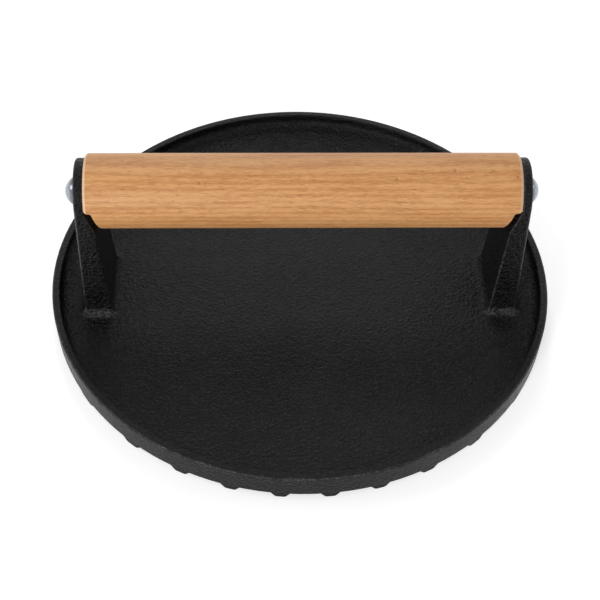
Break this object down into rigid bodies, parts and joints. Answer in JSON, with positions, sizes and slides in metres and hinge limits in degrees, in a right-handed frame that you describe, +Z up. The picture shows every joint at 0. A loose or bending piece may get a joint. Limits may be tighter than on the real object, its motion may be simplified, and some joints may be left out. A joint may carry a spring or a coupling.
{
  "type": "burger press",
  "caption": "Round cast iron press plate with a shallow rimmed top, a ribbed underside and a wooden bar handle held between upright ears.",
  "frame": {"origin": "on the surface that the press stands on, under the middle of the round plate", "axes": "+X along the handle, +Y across it towards the back, +Z up through the handle"},
  "size_m": [0.21, 0.2098, 0.0788],
  "materials": {
    "seasoned_iron": "seasoned, fine sand-cast texture",
    "beech": "smooth turned beech, lightly oiled",
    "rod_steel": "plain turned bar",
    "plated_steel": "bright zinc plate"
  },
  "bodies": {
    "root": {"press_plate": "seasoned_iron", "handle_grip": "beech", "tie_rod": "rod_steel", "screw_left": "plated_steel", "screw_right": "plated_steel"}
  },
  "joints": []
}
